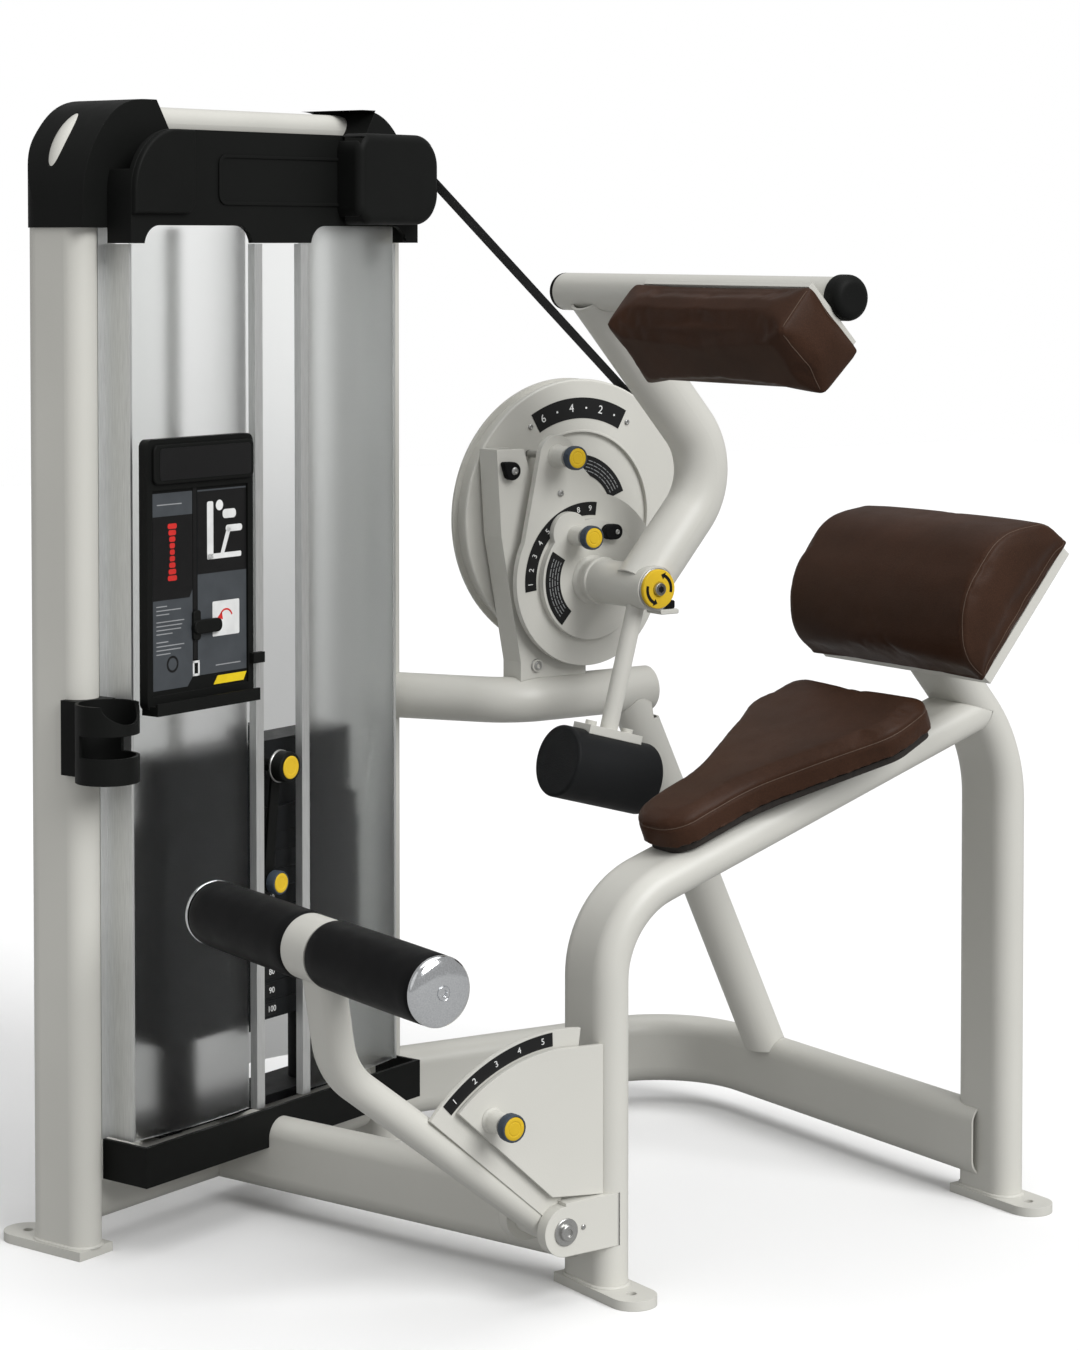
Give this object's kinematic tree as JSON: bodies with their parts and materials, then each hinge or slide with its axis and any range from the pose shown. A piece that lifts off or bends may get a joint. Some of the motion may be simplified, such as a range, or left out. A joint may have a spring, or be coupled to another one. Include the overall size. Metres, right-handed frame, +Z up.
{
  "type": "back extension machine",
  "caption": "Selectorised back extension machine: weight tower with cam and belt, swinging upper-back pad, saddle seat, lumbar roll and adjustable foot rollers.",
  "frame": {"origin": "on the floor under the centre of the machine's overall box", "axes": "+Z up; the user sits facing -Y; the weight tower stands on the -X side, which is the user's right"},
  "size_m": [1.0756, 1.2247, 1.491],
  "materials": {
    "frame_paint": "warm off-white fine-texture powder coat",
    "black_plastic": "charcoal moulded plastic, fine grain",
    "knob_plastic": "yellow caps on slate rims and steel pins",
    "column_aluminium": "satin anodised extrusion",
    "shield_plastic": "frosted smoked sheet",
    "brown_leather": "dark brown grained leatherette",
    "black_rubber": "matt black foam rubber",
    "belt_fabric": "black ribbed drive belt",
    "plate_iron": "black textured paint on iron",
    "bright_steel": "ground and polished",
    "chrome": "polished",
    "board_wood": "birch plywood on painted steel spacers"
  },
  "bodies": {
    "frame": {"tower_posts": "frame_paint", "tower_top_beam": "frame_paint", "tower_base_beam": "frame_paint", "base_spine": "frame_paint", "rear_base_tube": "frame_paint", "mid_beam": "frame_paint", "diagonal_strut": "frame_paint", "seat_frame_tube": "frame_paint", "seat_rear_post": "frame_paint", "foot_plates": "frame_paint", "pivot_bracket": "frame_paint", "stop_bumpers": "black_rubber", "foot_clevis": "frame_paint", "foot_index_plate": "frame_paint", "hoods": "black_plastic", "fascia": "black_plastic", "pulley_cover": "black_plastic", "base_cover": "black_plastic", "tower_columns": "column_aluminium", "front_shields": "shield_plastic", "back_shields": "shield_plastic", "placard": "black_plastic", "bottle_holder": "black_plastic", "guide_rods": "bright_steel", "stack_cushions": "black_rubber", "resting_plates": "plate_iron", "pulley_axles": "bright_steel", "belt_span": "belt_fabric", "belt_drop": "belt_fabric", "seat_pad": "brown_leather", "seat_base": "board_wood", "back_pad": "brown_leather", "back_pad_base": "frame_paint"},
    "cam": {"cam_disc": "frame_paint", "pivot_shaft": "bright_steel", "belt_wrap": "belt_fabric"},
    "range_plate": {"range_plate": "frame_paint"},
    "arm": {"arm_hub": "frame_paint", "hub_cap": "knob_plastic", "arm_tube": "frame_paint", "pad_tube": "frame_paint", "pad_tube_caps": "black_plastic", "upper_pad": "brown_leather", "upper_pad_base": "frame_paint", "counterweight": "plate_iron", "counterweight_rod": "frame_paint"},
    "range_knob": {"range_knob": "knob_plastic"},
    "start_knob": {"start_knob": "knob_plastic"},
    "foot_knob": {"foot_knob": "knob_plastic"},
    "stack": {"weight_stack": "plate_iron", "head_plate": "plate_iron", "pin_lanyard": "black_plastic"},
    "selector_pin": {"selector_pin": "knob_plastic"},
    "rear_pulley": {"rear_top_pulley": "black_plastic"},
    "front_pulley": {"stack_top_pulley": "black_plastic"},
    "foot_arm": {"foot_arm": "frame_paint", "foot_sector_plate": "frame_paint", "foot_axle": "chrome"},
    "left_roller": {"left_foot_roller": "black_rubber"},
    "right_roller": {"right_foot_roller": "black_rubber"}
  },
  "joints": [
    {"name": "arm_swing", "type": "hinge", "parent": "frame", "child": "cam", "pos_m": [-0.2302, 0.2554, 0.826], "axis": [-1, 0, 0], "range_deg": [0, 48]},
    {"name": "range_adjust", "type": "hinge", "parent": "cam", "child": "range_plate", "pos_m": [-0.2302, 0.2554, 0.826], "axis": [-1, 0, 0], "range_deg": [-8, 24]},
    {"name": "start_adjust", "type": "hinge", "parent": "range_plate", "child": "arm", "pos_m": [-0.2302, 0.2554, 0.826], "axis": [-1, 0, 0], "range_deg": [-67.5, 22.5]},
    {"name": "range_knob_pull", "type": "slide", "parent": "range_plate", "child": "range_knob", "axis": [1, 0, 0], "range_m": [0, 0.01], "stiffness_N_per_m": 300, "springref_m": -0.01},
    {"name": "start_knob_pull", "type": "slide", "parent": "arm", "child": "start_knob", "axis": [1, 0, 0], "range_m": [0, 0.01], "stiffness_N_per_m": 300, "springref_m": -0.01},
    {"name": "foot_knob_pull", "type": "slide", "parent": "frame", "child": "foot_knob", "axis": [1, 0, 0], "range_m": [0, 0.01], "stiffness_N_per_m": 300, "springref_m": -0.01},
    {"name": "stack_lift", "type": "slide", "parent": "frame", "child": "stack", "axis": [0, 0, 1], "range_m": [0, 0.245], "deforming": ["belt_drop"]},
    {"name": "selector_pin_pull", "type": "slide", "parent": "stack", "child": "selector_pin", "axis": [0.9483, 0.3173, 0], "range_m": [0, 0.075]},
    {"name": "rear_pulley_turn", "type": "hinge", "parent": "frame", "child": "rear_pulley", "pos_m": [-0.3102, -0.0216, 1.391], "axis": [-1, 0, 0], "range_deg": [-5, 278]},
    {"name": "front_pulley_turn", "type": "hinge", "parent": "frame", "child": "front_pulley", "pos_m": [-0.3102, -0.2096, 1.391], "axis": [-1, 0, 0], "range_deg": [-5, 278]},
    {"name": "foot_arm_tilt", "type": "hinge", "parent": "frame", "child": "foot_arm", "pos_m": [0.2718, -0.1656, 0.097], "axis": [1, 0, 0], "range_deg": [0, 36.8]},
    {"name": "left_roller_spin", "type": "hinge", "parent": "foot_arm", "child": "left_roller", "pos_m": [0.2718, -0.4836, 0.476], "axis": [1, 0, 0], "continuous": true},
    {"name": "right_roller_spin", "type": "hinge", "parent": "foot_arm", "child": "right_roller", "pos_m": [0.2718, -0.4836, 0.476], "axis": [1, 0, 0], "continuous": true}
  ],
  "couplings": [
    {"joint": "stack_lift", "follows": "arm_swing", "m_per_rad": 0.2829},
    {"joint": "rear_pulley_turn", "follows": "arm_swing", "ratio": 5.658},
    {"joint": "front_pulley_turn", "follows": "arm_swing", "ratio": 5.658}
  ]
}
